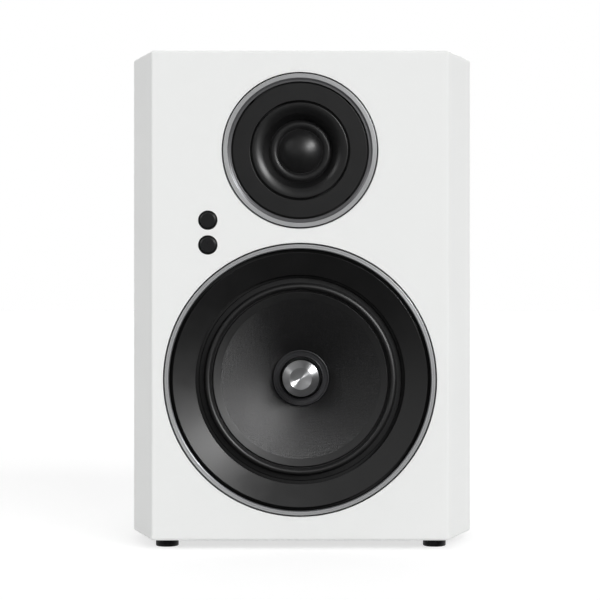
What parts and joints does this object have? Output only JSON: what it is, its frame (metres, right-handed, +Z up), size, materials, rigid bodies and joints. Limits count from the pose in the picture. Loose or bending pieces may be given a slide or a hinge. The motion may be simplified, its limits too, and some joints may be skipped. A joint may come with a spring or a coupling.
{
  "type": "bookshelf speaker",
  "caption": "Powered bookshelf speaker with bevelled white cabinet, dome tweeter, cone woofer with phase plug, push buttons, rear port and amplifier plate.",
  "frame": {"origin": "under the middle of the whole object, on the surface the feet stand on", "axes": "+Z up, +X to the right seen from the front, the front faces -Y"},
  "size_m": [0.214, 0.257, 0.3055],
  "materials": {
    "white_lacquer": "satin white lacquer on fibreboard",
    "wadding": "soft polyester mat",
    "black_rubber": "matt",
    "ring_metal": "satin",
    "faceplate_plastic": "fine matt",
    "horn_plastic": "satin",
    "bezel_plastic": "satin",
    "soft_silk": "coated cloth",
    "surround_rubber": "satin",
    "cone_cloth": "woven glass fibre under a clear coat",
    "collar_plastic": "satin",
    "turned_metal": "turned",
    "spider_cloth": "stiffened cloth",
    "gasket_foam": "closed foam",
    "basket_metal": "black powder coat",
    "black_steel": "black zinc",
    "motor_steel": "zinc plated",
    "ferrite": "matt",
    "coil_film": "amber film",
    "copper": "enamelled copper wire",
    "button_plastic": "fine texture",
    "holder_plastic": "satin",
    "lens_plastic": "dark clear",
    "switch_plastic": "matt",
    "board_laminate": "green solder mask",
    "port_plastic": "fine matt",
    "plate_metal": "black powder coat",
    "sink_metal": "extruded",
    "knob_plastic": "satin",
    "plated_metal": "nickel plate",
    "insert_plastic": "moulded",
    "socket_plastic": "moulded"
  },
  "bodies": {
    "cabinet": {"front_baffle": "white_lacquer", "top_panel": "white_lacquer", "bottom_panel": "white_lacquer", "left_side_panel": "white_lacquer", "right_side_panel": "white_lacquer", "rear_panel": "white_lacquer", "damping_mats": "wadding", "rubber_feet": "black_rubber", "tweeter_trim_ring": "ring_metal", "woofer_trim_ring": "ring_metal", "tweeter_faceplate": "faceplate_plastic", "tweeter_waveguide": "horn_plastic", "woofer_bezel": "bezel_plastic", "phase_plug": "turned_metal", "tweeter_gasket": "gasket_foam", "woofer_gasket": "gasket_foam", "woofer_basket": "basket_metal", "tweeter_screws": "black_steel", "woofer_screws": "black_steel", "amplifier_screws": "black_steel", "button_board_screws": "black_steel", "tweeter_top_plate": "motor_steel", "tweeter_yoke": "motor_steel", "woofer_top_plate": "motor_steel", "woofer_yoke": "motor_steel", "board_standoffs": "motor_steel", "tweeter_magnet": "ferrite", "woofer_magnet": "ferrite", "button_holder": "holder_plastic", "tweeter_rear_chamber": "holder_plastic", "tact_switches": "switch_plastic", "volume_potentiometer": "switch_plastic", "channel_switch": "switch_plastic", "button_board": "board_laminate", "amplifier_board": "board_laminate", "port_tube": "port_plastic", "amplifier_plate": "plate_metal", "heat_sink": "sink_metal", "phono_sleeves": "plated_metal", "inlet_pins": "plated_metal", "phono_inserts": "insert_plastic", "mains_inlet": "socket_plastic", "rocker_housing": "socket_plastic"},
    "woofer_diaphragm": {"woofer_cone": "cone_cloth", "woofer_collar": "collar_plastic", "woofer_coil_former": "coil_film", "woofer_voice_coil": "copper", "woofer_surround": "surround_rubber", "woofer_spider": "spider_cloth"},
    "tweeter_diaphragm": {"tweeter_dome": "soft_silk", "tweeter_coil_former": "coil_film", "tweeter_voice_coil": "copper", "tweeter_surround": "soft_silk"},
    "power_button": {"power_button": "button_plastic", "status_led_lens": "lens_plastic"},
    "source_button": {"source_button": "button_plastic"},
    "volume_knob": {"volume_knob": "knob_plastic", "volume_shaft": "plated_metal"},
    "channel_slider": {"channel_slider": "knob_plastic"},
    "power_rocker": {"power_rocker": "socket_plastic"}
  },
  "joints": [
    {"name": "woofer_stroke", "type": "slide", "parent": "cabinet", "child": "woofer_diaphragm", "axis": [0, 1, 0], "range_m": [-0.004, 0.004], "stiffness_N_per_m": 800, "deforming": ["woofer_surround", "woofer_spider"]},
    {"name": "tweeter_stroke", "type": "slide", "parent": "cabinet", "child": "tweeter_diaphragm", "axis": [0, 1, 0], "range_m": [-0.0005, 0.0005], "stiffness_N_per_m": 2000, "deforming": ["tweeter_surround"]},
    {"name": "power_button_press", "type": "slide", "parent": "cabinet", "child": "power_button", "axis": [0, 1, 0], "range_m": [0, 0.0008], "stiffness_N_per_m": 800, "springref_m": -0.0005},
    {"name": "source_button_press", "type": "slide", "parent": "cabinet", "child": "source_button", "axis": [0, 1, 0], "range_m": [0, 0.0008], "stiffness_N_per_m": 800, "springref_m": -0.0005},
    {"name": "volume_turn", "type": "hinge", "parent": "cabinet", "child": "volume_knob", "pos_m": [-0.042, 0.12225, 0.1295], "axis": [0, 1, 0], "range_deg": [-150, 150]},
    {"name": "channel_slide", "type": "slide", "parent": "cabinet", "child": "channel_slider", "axis": [-1, 0, 0], "range_m": [0, 0.0042]},
    {"name": "rocker_tilt", "type": "hinge", "parent": "cabinet", "child": "power_rocker", "pos_m": [-0.034, 0.11475, 0.0735], "axis": [-1, 0, 0], "range_deg": [0, 24]}
  ]
}
